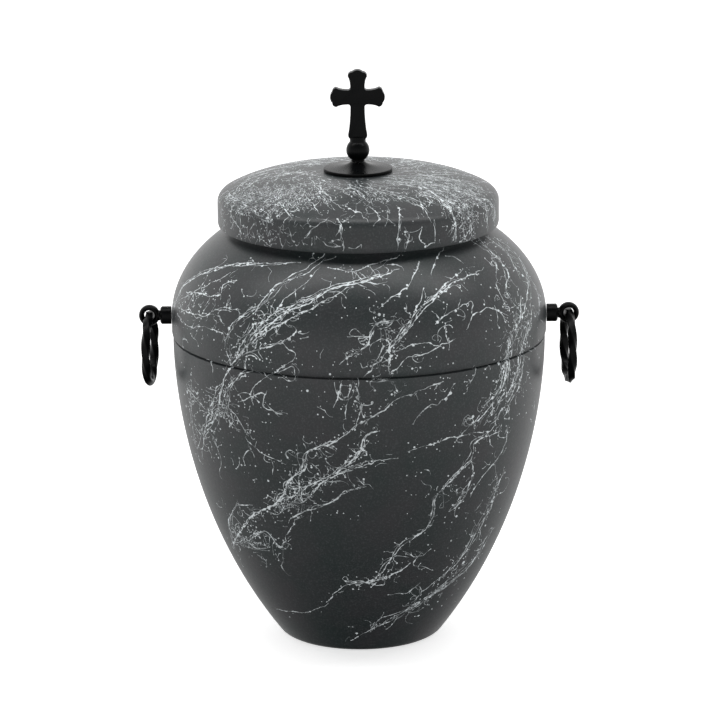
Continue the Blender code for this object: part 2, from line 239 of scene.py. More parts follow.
corner = np.array([LID_RADIUS, LID_SHARP_HEIGHT])
dome_end = LID_RADIUS - LID_CORNER
dome = [(r, dome_height(r)) for r in np.linspace(SEAT_RADIUS, dome_end, 60)]
soft_corner = rounded(dome[-1], corner, corner - (0, LID_CORNER))
hem = rounded((LID_RADIUS, LID_EDGE_HEIGHT + LID_HEM), (LID_RADIUS, LID_EDGE_HEIGHT),
              (LID_RADIUS - LID_HEM, LID_EDGE_HEIGHT))
lip = [(NECK_RADIUS + LID_PLAY, LID_EDGE_HEIGHT)]
lid_outer = spaced(joined(dome, soft_corner, hem), ROW)
lid_path = joined((0, dome_height(0)), lid_outer, lip)
lid_inner = spaced(inset(joined((0, dome_height(0)), dome, soft_corner, hem, lip), LID_WALL), INNER_ROW)
lid_inner[0, 0] = 0
lid_rows = np.vstack([lid_path, lid_inner[::-1]])
lid = turned("lid_shell", lid_rows)
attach(lid, "urn")
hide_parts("lid")


# Marbled paint: all three shells are sprayed matte charcoal and marbled before the clear coat. Fine white
# threads are pulled across the wet paint in bands. They branch, curl, cross and leave drops, all flush.

WEB_SEED = 11
ROUTE_STEPS = 24        # steps between two points of a route
THREAD_STEP = 0.8 * MM
THREAD_END = 5 * MM     # a thread thins out over this length
THIN_END = 0.3          # the share of its width that its ends keep
UNEVENNESS = 0.45       # how much its width comes and goes
FINENESS = 0.52         # all threads are this share of the widths given below
KNOT_SHARE = 0.060      # how many of a thread's steps are thick knots
KNOT_SWELL = (1.7, 3.1)
KINK_TURN = 0.85        # radians
TWIG_SHARE = 0.62       # a twig's width as a share of its thread's
TWIG_DROP_SHARE = 0.35
FORK_SHARE = 0.4
BACKWARD_SHARE = 0.4
TWIG_EVERY = 20 * MM    # a band has one twig, fray or drop to these lengths, times its own figure for them
FRAY_EVERY = 2.4 * MM
DROP_EVERY = 3 * MM
BIG_DROP_EVERY = 9 * MM
DROP_SIZE = 0.26 * MM
BIG_DROP_SIZE = 0.46 * MM
FAR_MM = 9.0            # stands for no thread near
SPARE_MM = 0.3          # a thread is still written to a quad that it passes at this distance
LARGEST_BEND = 1.2      # radians a millimetre

chance = np.random.default_rng(WEB_SEED)


class Skin:
    """The outer face of a shell as angle around and distance along its profile, and what is drawn on it."""

    def __init__(self, paths, start):
        self.place, self.threads, self.drops = [], [], []
        for path in paths:
            self.place.append(start + along(path))
            start = self.place[-1][-1]
        self.radii = np.concatenate([path[:, 0] for path in paths])
        self.far = np.concatenate(self.place)

    def radius(self, far):
        return np.interp(far, self.far, self.radii)

    def metres(self, steps, far):
        """Steps in angle and distance as metres around and along."""
        return steps * np.column_stack([self.radius(far), np.ones(len(far))])

    def route(self, points):
        """A smooth line through points of (degrees, millimetres), as even steps of angle and distance."""
        stops = np.array(points, float) * (math.radians(1), MM)
        stops = np.vstack([2 * stops[0] - stops[1], stops, 2 * stops[-1] - stops[-2]])
        t = np.linspace(0, 1, ROUTE_STEPS, endpoint=False)[:, None]
        runs = [0.5 * (2 * b + (c - a) * t + (2 * a - 5 * b + 4 * c - d) * t**2
                       + (3 * b - a - 3 * c + d) * t**3)
                for a, b, c, d in zip(stops[:-3], stops[1:-2], stops[2:-1], stops[3:])]
        line = np.vstack(runs + [stops[-2:-1]])
        steps = self.metres(np.diff(line, axis=0), line[:-1, 1])
        length = np.r_[0, np.cumsum(np.hypot(*steps.T))]
        places = np.linspace(0, length[-1], max(3, round(length[-1] / THREAD_STEP)))
        return np.column_stack([np.interp(places, length, values) for values in line.T])

    def heading(self, line):
        steps = self.metres(np.gradient(line, axis=0), line[:, 1])
        return np.unwrap(np.arctan2(steps[:, 1], steps[:, 0]))

    def moved(self, line, offset):
        """The line pushed sideways."""
        angle = self.heading(line) + math.pi / 2
        sideways = np.column_stack([np.cos(angle) / self.radius(line[:, 1]), np.sin(angle)])
        return line + sideways * offset[:, None]

    def add(self, line, half):
        if len(line) > 2:
            self.threads.append((line, self.heading(line), half))


def swell(count, every, smooth=True):
    """Random values that drift along a thread, a new one each few steps."""
    knots = max(2, int(count / every) + 2)
    values = chance.normal(0, 1, knots)
    t = np.linspace(0, knots - 1.001, count)
    i, f = t.astype(int), t % 1
    f = f * f * (3 - 2 * f) if smooth else f
    return values[i] * (1 - f) + values[np.minimum(i + 1, knots - 1)] * f


def tapered(count, half):
    """Half width along a thread: uneven, with knots, and thin at both ends."""
    steps = np.arange(count) * THREAD_STEP
    ends = np.clip(np.minimum(steps, steps[-1] - steps) / THREAD_END, 0, 1)
    knots = np.where(chance.random(count) < KNOT_SHARE, chance.uniform(*KNOT_SWELL, count), 1)
    uneven = np.clip(1 + UNEVENNESS * swell(count, 5), 0.2, 2.0)
    return half * FINENESS * knots * (THIN_END + (1 - THIN_END) * ends) * uneven


def wander(skin, start, angle, length, half, curl, kinks=0.15):
    """A free thread that curls away from a point; gives its line and its heading at each point."""
    count = max(4, round(length / THREAD_STEP))
    turn = np.full(count, chance.normal(0, curl * 0.6)) + curl * 0.8 * swell(count, 7)
    turn = turn * THREAD_STEP / MM
    turn[chance.random(count) < kinks] += chance.normal(0, KINK_TURN)
    angles = angle + np.cumsum(turn)
    line = [np.array(start)]
    for a in angles:
        radius = max(skin.radius(line[-1][1]), 4 * MM)
        line.append(line[-1] + THREAD_STEP * np.array([math.cos(a) / radius, math.sin(a)]))
    line = np.array(line)
    skin.add(line, tapered(len(line), half))
    return line, np.r_[angles, angles[-1]]


def beside(skin, at, spread):
    """A random place near a point of a line."""
    away = chance.normal(0, spread, 2)
    return at[0] + away[0] / skin.radius(at[1]), at[1] + away[1]


def drops(skin, line, spread, count, size):
    """Drops scattered about a line."""
    for _ in range(count):
        place = beside(skin, line[chance.integers(len(line))], spread)
        skin.drops.append((*place, size * math.exp(chance.normal(0, 0.35))))


def twigs_on(skin, line, width, count):
    """Side threads, some with a drop at the tip and some forked."""
    angles = skin.heading(line)
    for _ in range(count):
        i = chance.integers(len(line))
        lean = chance.choice([-1, 1]) * math.radians(chance.uniform(12, 50))
        back = math.pi * (chance.random() < BACKWARD_SHARE)
        twig, ends = wander(skin, line[i], angles[i] + lean + back, chance.gamma(2.2, 3.2) * MM,
                            width * TWIG_SHARE, 0.16)
        if chance.random() < TWIG_DROP_SHARE:
            skin.drops.append((*twig[-1], width * chance.uniform(1.0, 1.7)))
        if chance.random() < FORK_SHARE:
            fork = len(twig) // 2
            wander(skin, twig[fork], ends[fork] + chance.choice([-1, 1]) * 0.8, chance.gamma(2.0, 2.0) * MM,
                   width * TWIG_SHARE * 0.8, 0.25)


def strand(skin, part, side, spread, width, twigs):
    """One thread of a band, along a part of its route and to one side of it."""
    count = len(part)
    offset = spread * (side + 0.55 * swell(count, 18)) + 0.42 * swell(count, 4, smooth=False)
    offset = offset + 0.08 * chance.normal(0, 1, count)
    line = skin.moved(part, offset * MM)
    width = width * MM if side == 0 else width * chance.uniform(0.45, 0.95) * MM
    skin.add(line, tapered(count, width))
    twigs_on(skin, line, width, chance.poisson(twigs * count * THREAD_STEP / TWIG_EVERY))


def frays(skin, guide, spread, count):
    """Short loose threads about a route, most of them leaning along it."""
    towards = skin.heading(guide)
    for _ in range(count):
        place = chance.integers(len(guide))
        start = beside(skin, guide[place], (spread * 1.6 + 0.6) * MM)
        lean = chance.normal(0, 0.5) if chance.random() < 0.75 else chance.uniform(0, math.tau)
        wander(skin, start, towards[place] + lean, chance.gamma(2.4, 1.8) * MM,
               chance.uniform(0.12, 0.28) * MM, 0.30, 0.2)


def band(skin, points, threads=2, spread=1.2, half=0.34, twigs=1.0, fray=0.5, dots=0.5):
    """One band of the web: threads that run together along a route, with twigs, frays and drops.

    The points are in degrees around and millimetres along, and spread and half width in millimetres.
    """
    guide = skin.route(points)
    strand(skin, guide, 0, spread, half, twigs)
    for _ in range(threads - 1):
        room = len(guide) // 2
        part = guide[chance.integers(0, room + 1):len(guide) - chance.integers(0, room + 1)]
        if len(part) > 5:
            strand(skin, part, chance.uniform(-1.5, 1.5), spread, half, twigs)
    length = len(guide) * THREAD_STEP
    frays(skin, guide, spread, chance.poisson(fray * length / FRAY_EVERY))
    drops(skin, guide, (spread * 1.8 + 2.5) * MM, chance.poisson(dots * length / DROP_EVERY), DROP_SIZE)
    drops(skin, guide, (spread * 0.6 + 0.3) * MM, chance.poisson(dots * length / BIG_DROP_EVERY),
          BIG_DROP_SIZE)


def curls(skin, west, east, low, high, count, dots):
    """Loose curls and drops in a patch given in degrees around and millimetres along the skin."""
    for _ in range(count):
        start = (math.radians(chance.uniform(west, east)), chance.uniform(low, high) * MM)
        curl = wander(skin, start, chance.uniform(0, math.tau), chance.gamma(2.6, 2.8) * MM,
                      chance.uniform(0.18, 0.40) * MM, 0.26, 0.16)[0]
        if chance.random() < 0.5:
            skin.drops.append((*curl[-1], chance.uniform(0.3, 0.6) * MM))
    for _ in range(dots):
        skin.drops.append((math.radians(chance.uniform(west, east)), chance.uniform(low, high) * MM,
                           DROP_SIZE * math.exp(chance.normal(0, 0.4))))


class Quads:
    """The quads of a shell's painted face, in rows along the profile, and the numbers at their corners."""

    def __init__(self, piece, place, first_row, backwards):
        self.mesh, self.place, self.backwards = piece.data, place, backwards
        self.first_loop = self.mesh.polygons[first_row * AROUND].loop_start
        self.width = math.tau / AROUND

    def near(self, angle, far):
        """The nine quads around each point: the point's number, and their rows and columns."""
        rows = np.clip(np.searchsorted(self.place, far, side="right") - 1, 0, len(self.place) - 2)
        columns = np.floor(angle / math.tau * AROUND).astype(int)
        span = np.arange(-1, 2)
        point, down, across = np.meshgrid(np.arange(len(far)), span, span, indexing="ij")
        row = (rows[:, None, None] + down).ravel()
        column = (columns[:, None, None] + across).ravel() % AROUND
        good = (row >= 0) & (row < len(self.place) - 1)
        return point.ravel()[good], row[good], column[good]

    def apart(self, angle, far, radius, row, column):
        """From each point to the middle of its quad."""
        middle = (self.place[row] + self.place[row + 1]) / 2
        turn = ((column + 0.5) * self.width - angle + math.pi) % math.tau - math.pi
        return np.hypot(turn * radius, middle - far)

    def local(self, angle, far, radius, row, column):
        """Millimetres from each point to the four corners of its quad, around and along."""
        row = row[:, None] + np.array([1, 0, 0, 1] if self.backwards else [0, 1, 1, 0])
        column = column[:, None] + np.array([0, 0, 1, 1])
        turn = (column * self.width - angle[:, None] + math.pi) % math.tau - math.pi
        return turn * radius[:, None] / MM, (self.place[row] - far[:, None]) / MM

    def corners(self, row, column):
        """The mesh's own numbers for the four corners of each quad."""
        order = len(self.place) - 2 - row if self.backwards else row
        return (self.first_loop + (order * AROUND + column) * 4)[:, None] + np.arange(4)

    def blank(self):
        """Three numbers for each corner that stand for no thread."""
        return np.full((len(self.mesh.loops), 3), (FAR_MM, 0.0, -1.0))

    def store(self, name, values):
        layer = self.mesh.attributes.new(name, "FLOAT_VECTOR", "CORNER")
        layer.data.foreach_set("vector", values.astype(np.float32).ravel())


def thread_values(skin):
    """For each point of all threads: thread, angle, distance, heading, half width, bend and growth."""
    lines, headings, halves = zip(*skin.threads)
    number = np.concatenate([np.full(len(line), i) for i, line in enumerate(lines)])
    half = np.concatenate(halves) / MM
    step = THREAD_STEP / MM
    bend = np.concatenate([np.gradient(heading) for heading in headings]) / step
    grow = np.concatenate([np.gradient(widths / MM) for widths in halves]) / step
    ends = np.concatenate([np.r_[1, np.zeros(len(line) - 2), -1] for line in lines])
    grow = np.where(ends != 0, ends * (half + 0.25) / step, grow)
    return number, *np.concatenate(lines).T, np.concatenate(headings), half, bend, grow


def lay_threads(quads, skin):
    """Writes the nearest three threads to each quad: distance aside, distance ahead, and half width."""
    number, angle, far, heading, half, bend, grow = thread_values(skin)
    radius = skin.radius(far)
    inside = np.nonzero((far > quads.place[0] - 3 * MM) & (far < quads.place[-1] + 3 * MM))[0]
    point, row, column = quads.near(angle[inside], far[inside])
    point = inside[point]
    apart = quads.apart(angle[point], far[point], radius[point], row, column) / MM
    quad = row * AROUND + column
    size = np.hypot(quads.width * radius[point], quads.place[row + 1] - quads.place[row]) / MM
    close = apart < half[point] + size / 2 + SPARE_MM
    order = np.lexsort((apart, number[point], quad))
    order = order[np.r_[True, (np.diff(quad[order]) != 0) | (np.diff(number[point[order]]) != 0)]]
    order = order[close[order]]
    order = order[np.lexsort(((apart - 1.5 * half[point])[order], quad[order]))]
    point, row, column, quad = point[order], row[order], column[order], quad[order]
    start = np.nonzero(np.r_[True, np.diff(quad) != 0])[0]
    rank = np.arange(len(quad)) - np.repeat(start, np.diff(np.r_[start, len(quad)]))
    bends = np.zeros((len(quads.mesh.loops), 3))
    for slot, letter in enumerate("abc"):
        p, r, c = (values[rank == slot] for values in (point, row, column))
        dx, dy = quads.local(angle[p], far[p], radius[p], r, c)
        cos, sin = np.cos(heading[p])[:, None], np.sin(heading[p])[:, None]
        ahead, aside = dx * cos + dy * sin, dy * cos - dx * sin
        at = quads.corners(r, c)
        values = quads.blank()
        values[at] = np.stack([aside, ahead, half[p][:, None] + grow[p][:, None] * ahead], -1)
        bends[at, slot] = np.clip(bend[p], -LARGEST_BEND, LARGEST_BEND)[:, None]
        quads.store("thread_" + letter, values)
    quads.store("thread_bend", bends)


def lay_drops(quads, skin):
    """Writes the nearest drop to each quad: distances around and along, and its radius."""
    angle, far, size = np.array(skin.drops).T
    inside = np.nonzero((far > quads.place[0]) & (far < quads.place[-1]))[0]
    point, row, column = quads.near(angle[inside], far[inside])
    point = inside[point]
    apart = quads.apart(angle[point], far[point], skin.radius(far[point]), row, column)
    order = np.argsort(-(apart - size[point]))
    point, row, column = point[order], row[order], column[order]
    dx, dy = quads.local(angle[point], far[point], skin.radius(far[point]), row, column)
    values = quads.blank()
    values[quads.corners(row, column)] = np.stack([dx, dy, np.repeat(size[point][:, None] / MM, 4, 1)], -1)
    quads.store("drop", values)


body = Skin([lower_outer[::-1], upper_outer[::-1]], 0)
cover = Skin([lid_outer], SEAT_RADIUS)

# Over the left shoulder, and the curls beside the left handle
band(body, [(-84, 205), (-79, 222), (-76, 235), (-57, 255), (-24, 268)], 3, 0.9, 0.40, 0.5, 0.15, 0.1)
band(body, [(-76, 223), (-60, 241), (-52, 252)], 1, 0.4, 0.30, 0.4, 0.1, 0)
band(body, [(-72, 230), (-60, 235), (-52, 238), (-53, 244), (-47, 249)], 1, 1.2, 0.34, 2.2, 0.8, 0.6)
band(body, [(-76, 220), (-63, 223), (-56, 225), (-50, 230), (-40, 231)], 2, 2.0, 0.30, 2.4, 0.7, 0.3)
band(body, [(-75, 217), (-64, 214), (-55, 217), (-46, 217), (-45, 212)], 1, 0.5, 0.28, 0.6, 0.2, 0.6)

curls(body, -84, -48, 204, 236, 14, 40)
curls(body, -60, -30, 222, 250, 5, 16)

# The broad sweep down to the left of the seam
band(body, [(-14, 279), (-20, 264), (-27, 252), (-33, 238), (-40, 227), (-44, 214), (-42, 200)],
     3, 1.4, 0.34, 1.2, 0.35, 0.3)
band(body, [(-15, 264), (-24, 241), (-30, 228), (-35, 216), (-42, 199)], 2, 1.0, 0.34, 0.8, 0.2, 0.2)
band(body, [(16, 262), (6, 257), (-6, 252), (-15, 244), (-22, 236), (-30, 225), (-36, 212), (-43, 198)],
     5, 1.5, 0.42, 0.8, 0.45, 0.5)
band(body, [(-2, 252), (-12, 241), (-24, 229), (-34, 214)], 2, 0.9, 0.30, 0.8, 0.2, 0.2)
band(body, [(-28, 232), (-35, 218), (-40, 205)], 3, 3.4, 0.30, 1.6, 1.5, 0.8)
band(body, [(-38, 206), (-32, 211), (-24, 217), (-20, 222), (-19, 225), (-22, 227)],
     2, 0.5, 0.38, 1.0, 0.4, 0.5)
band(body, [(-24, 217), (-19, 211), (-24, 202), (-30, 193), (-34, 185), (-34, 177)],
     1, 0.5, 0.34, 0.8, 0.2, 0.2)
band(body, [(-25, 199), (-20, 204), (-20, 195), (-25, 195)], 1, 0.4, 0.28, 0.6, 0.2, 0.2)

curls(body, -46, -22, 198, 222, 12, 40)
curls(body, -20, 4, 196, 214, 4, 12)

# Below the seam on the left
band(body, [(-41, 202), (-46, 185), (-50, 169), (-57, 152), (-66, 134)], 4, 3.2, 0.34, 2.2, 1.1, 0.9)
band(body, [(-34, 198), (-42, 187), (-45, 172), (-44, 160)], 3, 1.4, 0.34, 1.6, 0.6, 0.4)
band(body, [(-40, 177), (-30, 185), (-30, 177), (-24, 174)], 1, 0.4, 0.38, 1.0, 0.2, 0.6)
band(body, [(-68, 172), (-56, 169), (-46, 171), (-41, 164), (-38, 156)], 3, 3.4, 0.30, 2.4, 1.1, 1.0)
band(body, [(-62, 180), (-66, 160), (-70, 140)], 2, 3.0, 0.26, 1.6, 0.6, 0.8)
band(body, [(-38, 156), (-32, 148), (-24, 144)], 1, 0.3, 0.24, 0.3, 0, 0.3)

curls(body, -72, -34, 128, 192, 26, 70)
curls(body, -34, -8, 168, 192, 3, 12)

# Long threads and the fan on the right of the shoulder
band(body, [(25, 267), (18, 252), (10, 243), (5, 237)], 1, 0.3, 0.40, 0.3, 0, 0.5)
band(body, [(40, 275), (33, 267), (27, 257)], 1, 0.3, 0.28, 0.2, 0, 0)
band(body, [(52, 254), (38, 251), (29, 246), (21, 238), (15, 227), (8, 214), (1, 199)],
     4, 1.1, 0.36, 0.5, 0.2, 0.3)
band(body, [(42, 257), (31, 249), (24, 241)], 2, 0.5, 0.30, 0.4, 0, 0.1)
band(body, [(23, 249), (19, 238), (13, 223)], 1, 0.4, 0.28, 0.4, 0.1, 0.1)
band(body, [(24, 227), (30, 233), (38, 236), (37, 230)], 1, 0.4, 0.30, 0.6, 0.1, 0.4)
band(body, [(34, 222), (38, 228), (44, 231), (48, 228), (52, 222)], 1, 0.3, 0.32, 0.8, 0.1, 0.3)
band(body, [(9, 200), (14, 209), (20, 211), (30, 217)], 1, 0.3, 0.36, 0.2, 0, 0.2)
band(body, [(10, 212), (18, 217), (26, 214)], 1, 0.3, 0.34, 0.3, 0, 0.4)
band(body, [(8, 226), (9, 214), (9, 200)], 1, 0.4, 0.40, 1.4, 0.4, 0.6)
band(body, [(-6, 207), (1, 215), (4, 225), (6, 230), (12, 230)], 2, 0.7, 0.46, 2.4, 1.2, 1.4)
band(body, [(4, 205), (12, 222), (16, 232)], 2, 2.4, 0.28, 1.2, 0.6, 0.6)
band(body, [(-4, 262), (3, 256), (10, 257)], 2, 1.8, 0.34, 1.4, 0.6, 1.2)
band(body, [(-12, 266), (-2, 262), (8, 268), (18, 272)], 1, 0.8, 0.26, 0.6, 0.1, 0.5)

curls(body, -6, 30, 200, 246, 12, 40)

# The dense band that falls from the lid on the right
band(body, [(65, 276), (64, 260), (63, 247), (56, 236), (60, 222)], 3, 1.4, 0.36, 1.4, 0.5, 0.3)
band(body, [(78, 268), (80, 252), (72, 236), (63, 223), (56, 216)], 3, 1.6, 0.36, 1.0, 0.5, 0.2)
band(body, [(58, 276), (62, 260), (54, 244), (52, 230)], 2, 0.7, 0.32, 0.8, 0.2, 0.2)
band(body, [(72, 272), (74, 256), (68, 240)], 3, 3.0, 0.26, 1.6, 1.2, 0.6)
band(body, [(77, 240), (76, 225), (72, 216)], 2, 1.0, 0.32, 1.0, 0.2, 0.1)
band(body, [(62, 232), (57, 220), (52, 209), (51, 196), (49, 184), (45, 175), (40, 168), (35, 160)],
     7, 2.2, 0.60, 1.8, 2.0, 0.7)
band(body, [(66, 216), (60, 205), (59, 191), (55, 179), (50, 169), (45, 157)], 6, 2.6, 0.44, 1.6, 1.8, 0.6)

curls(body, 40, 74, 150, 262, 36, 90)

# The central band, from the right of the seam down to the left
band(body, [(26, 191), (16, 187), (8, 180), (0, 171), (-7, 161), (-16, 152), (-18, 142),
            (-24, 131), (-30, 115),
            (-41, 105), (-52, 89), (-64, 73)], 4, 1.2, 0.46, 1.4, 0.45, 0.8)
band(body, [(6, 166), (2, 163), (0, 153), (-6, 142), (-16, 132), (-24, 127)], 3, 0.8, 0.46, 1.6, 0.5, 0.8)
band(body, [(12, 148), (5, 148), (-2, 144), (-12, 134), (-18, 123), (-26, 116)],
     3, 1.0, 0.38, 1.4, 0.6, 0.5)
band(body, [(-17, 136), (-22, 122), (-30, 112)], 4, 4.0, 0.34, 2.4, 2.8, 1.4)
band(body, [(2, 131), (-4, 129), (-10, 121), (-21, 112), (-26, 104)], 2, 0.5, 0.36, 1.0, 0.2, 0.5)
band(body, [(-40, 112), (-49, 108), (-58, 94), (-64, 73)], 3, 1.4, 0.36, 1.0, 0.4, 0.2)
band(body, [(-61, 78), (-46, 88), (-37, 96), (-32, 86), (-28, 94), (-24, 105)], 2, 1.0, 0.30, 1.8, 0.9, 0.3)
band(body, [(-52, 84), (-44, 82), (-38, 84)], 3, 3.2, 0.26, 2.0, 1.8, 0.5)
band(body, [(-2, 196), (0, 187), (0, 175), (-2, 166)], 2, 0.6, 0.52, 1.6, 0.6, 1.0)
band(body, [(-2, 195), (-4, 183), (-4, 173)], 1, 0.4, 0.30, 0.8, 0.1, 0.4)
band(body, [(-5, 196), (-6, 188), (-8, 180)], 1, 0.3, 0.38, 0.2, 0, 0.8)
band(body, [(2, 197), (8, 196), (12, 190)], 3, 1.8, 0.38, 2.0, 0.9, 0.6)
band(body, [(30, 190), (26, 182), (20, 177), (16, 169)], 1, 0.5, 0.34, 0.8, 0.2, 0.8)
band(body, [(38, 197), (36, 190), (34, 187)], 1, 0.4, 0.32, 1.0, 0.2, 1.2)

curls(body, -34, 4, 108, 160, 18, 60)
curls(body, -64, -30, 70, 112, 12, 40)

# Right of the middle, down to the base
band(body, [(42, 158), (30, 158), (21, 155), (15, 152)], 1, 0.5, 0.32, 0.4, 0.1, 0.4)
band(body, [(50, 156), (39, 152), (38, 144), (32, 132), (26, 121), (26, 112), (24, 100), (16, 91),
            (12, 81), (7, 69)],
     3, 1.0, 0.40, 1.2, 0.45, 0.6)
band(body, [(39, 140), (40, 129), (36, 116), (32, 110)], 3, 1.6, 0.36, 1.4, 0.8, 0.5)
band(body, [(54, 156), (53, 142), (45, 129), (40, 119)], 1, 0.4, 0.36, 0.8, 0.2, 0.5)
band(body, [(20, 77), (13, 69), (4, 65), (-6, 64)], 3, 0.8, 0.44, 1.4, 0.5, 0.6)
band(body, [(6, 65), (-6, 62), (-13, 53), (-16, 47)], 1, 0.5, 0.36, 0.6, 0.1, 0.4)
band(body, [(28, 85), (22, 81), (16, 86)], 1, 0.4, 0.38, 0.8, 0.2, 0.4)
band(body, [(-16, 46), (-30, 36), (-52, 32)], 1, 0.3, 0.26, 0.2, 0, 0.3)
band(body, [(56, 128), (54, 118), (52, 102), (50, 94), (48, 80), (43, 67), (32, 56), (24, 46)],
     4, 1.8, 0.36, 1.6, 1.0, 0.6)
band(body, [(61, 88), (57, 70), (46, 55), (32, 45), (18, 35), (4, 22), (-6, 13)],
     6, 1.9, 0.30, 0.6, 0.3, 0.2)
band(body, [(51, 67), (38, 53), (26, 40), (14, 24)], 3, 1.6, 0.24, 0.5, 0.3, 0.3)
band(body, [(12, 53), (17, 54), (22, 54), (26, 61)], 1, 0.2, 0.34, 0.2, 0, 0.2)

curls(body, 14, 50, 70, 158, 16, 50)
curls(body, 20, 60, 30, 110, 10, 36)

# Around the back, plainer: bands that lean the same way
BACK_BANDS = 14
for number in range(BACK_BANDS):
    place = 100 + 160 * (number + chance.uniform(0.2, 0.8)) / BACK_BANDS
    top = chance.uniform(150, 276)
    bottom = max(top - chance.uniform(60, 150), 30)
    lean = chance.uniform(10, 34)
    route = [(place + lean * t + chance.normal(0, 3), top + (bottom - top) * t)
             for t in np.linspace(0, 1, 6)]
    band(body, route, int(chance.integers(2, 5)), chance.uniform(0.9, 2.2), 0.38, 1.2,
         chance.uniform(0.3, 1.2), 0.5)

# Long rays on the lid, from the rosette out over the dome, to the right of the middle
band(cover, [(-63, 30), (-34, 42), (-20, 53), (-13, 63), (-7, 71)], 2, 0.5, 0.28, 0.3, 0.1, 0.3)
band(cover, [(-44, 29), (-20, 40), (-8, 50), (-1, 59)], 2, 0.6, 0.26, 0.3, 0.1, 0.2)
band(cover, [(-12, 34), (-4, 42), (2, 50), (4, 59)], 2, 0.5, 0.34, 0.6, 0.1, 0.4)
band(cover, [(-6, 66), (-2, 72), (1, 74), (4, 82)], 1, 0.4, 0.34, 0.3, 0.1, 0.2)
band(cover, [(3, 29), (14, 38), (22, 43)], 3, 1.2, 0.22, 0.3, 0.3, 0.3)
band(cover, [(6, 67), (9, 77), (6, 84)], 1, 0.3, 0.36, 0.6, 0.2, 0.4)
band(cover, [(3, 77), (6, 74), (10, 74)], 1, 0.3, 0.29, 1.0, 0.5, 0.6)
band(cover, [(10, 77), (15, 84)], 1, 0.2, 0.29, 0.2, 0, 0.2)
band(cover, [(19, 71), (17, 82), (16, 88), (16, 98)], 2, 0.5, 0.34, 0.4, 0.2, 0.3)
band(cover, [(18, 86), (20, 91), (19, 98)], 3, 0.9, 0.29, 0.8, 1.0, 0.8)
band(cover, [(26, 87), (25, 92), (26, 95), (28, 98), (32, 96)], 1, 0.2, 0.34, 0.4, 0, 0.3)
band(cover, [(32, 83), (32, 90), (32, 96)], 2, 0.6, 0.31, 0.6, 0.2, 0.8)

# The thick fall on the right of the lid, and the streaks behind it
band(cover, [(48, 45), (39, 58), (37, 67), (39, 72)], 1, 0.3, 0.33, 0.3, 0.1, 0.1)
band(cover, [(48, 48), (45, 59), (44, 67), (43, 75), (42, 84), (43, 90), (42, 98)],
     6, 0.9, 0.45, 0.5, 0.8, 0.8)
band(cover, [(41, 56), (44, 66), (47, 76), (47, 86)], 6, 2.2, 0.26, 0.4, 1.0, 0.8)
band(cover, [(29, 66), (30, 72), (30, 79), (30, 84)], 2, 0.4, 0.38, 0.5, 0.2, 0.4)
band(cover, [(34, 58), (32, 69), (32, 77)], 1, 0.3, 0.28, 0.3, 0.1, 0.1)
band(cover, [(57, 60), (53, 72), (50, 82), (51, 90), (51, 98)], 6, 2.8, 0.23, 0.6, 1.4, 0.8)
band(cover, [(46, 84), (47, 91), (47, 98)], 3, 2.0, 0.29, 0.8, 1.4, 1.2)
band(cover, [(45, 21), (62, 35), (72, 50), (78, 66), (80, 80)], 9, 3.4, 0.20, 0.2, 0.3, 0.3)
band(cover, [(36, 34), (56, 50), (66, 67), (68, 82)], 10, 3.8, 0.21, 0.2, 0.3, 0.3)
band(cover, [(20, 28), (40, 44), (52, 62), (58, 80)], 8, 3.0, 0.21, 0.2, 0.3, 0.3)
band(cover, [(64, 74), (64, 82), (64, 90), (65, 98)], 3, 1.0, 0.29, 0.3, 0.2, 0.3)
band(cover, [(70, 78), (72, 88), (74, 98)], 5, 2.0, 0.26, 0.3, 0.3, 0.2)

# The left of the lid: a band along the corner, single threads, and a few down the skirt
band(cover, [(-80, 77), (-70, 77), (-60, 77), (-49, 80), (-44, 82), (-38, 84)], 4, 1.4, 0.29, 0.6, 1.6, 2.0)
band(cover, [(-50, 63), (-40, 69), (-32, 77), (-28, 82)], 3, 0.7, 0.31, 0.4, 0.3, 0.6)
band(cover, [(-93, 47), (-78, 30), (-48, 26)], 3, 1.2, 0.22, 0.2, 0.5, 0.4)
band(cover, [(-29, 59), (-22, 67), (-16, 77)], 1, 0.3, 0.29, 0.2, 0, 0.2)
band(cover, [(-21, 61), (-21, 69), (-23, 75)], 1, 0.3, 0.29, 0.2, 0, 0.2)
band(cover, [(-13, 78), (-16, 84), (-19, 87), (-22, 92)], 1, 0.3, 0.43, 0.5, 0.2, 0.4)
band(cover, [(-9, 79), (-7, 82), (-7, 84), (-7, 90), (-6, 95), (-6, 98)], 1, 0.2, 0.36, 0.5, 0.3, 0.5)
band(cover, [(-8, 82), (-4, 79)], 1, 0.2, 0.31, 0.4, 0.6, 0.8)
band(cover, [(-17, 90), (-14, 93), (-12, 95), (-6, 95)], 2, 0.5, 0.33, 0.4, 0.2, 0.4)
band(cover, [(-12, 93), (-7, 92)], 1, 0.2, 0.29, 0.3, 0, 0)
band(cover, [(-4, 96), (-1, 96), (1, 94), (1, 96)], 1, 0.1, 0.34, 0.2, 0, 0)
band(cover, [(-64, 85), (-60, 90), (-56, 93), (-54, 98)], 2, 0.8, 0.24, 0.6, 0.4, 0.6)
band(cover, [(-47, 87), (-49, 92), (-51, 96)], 1, 0.4, 0.26, 0.6, 0.3, 0.5)


LID_FAR = (22, 99)      # millimetres along the lid, from the rosette to the hem
MIST_DROPS = 0.15       # the share of a cloud that is drops


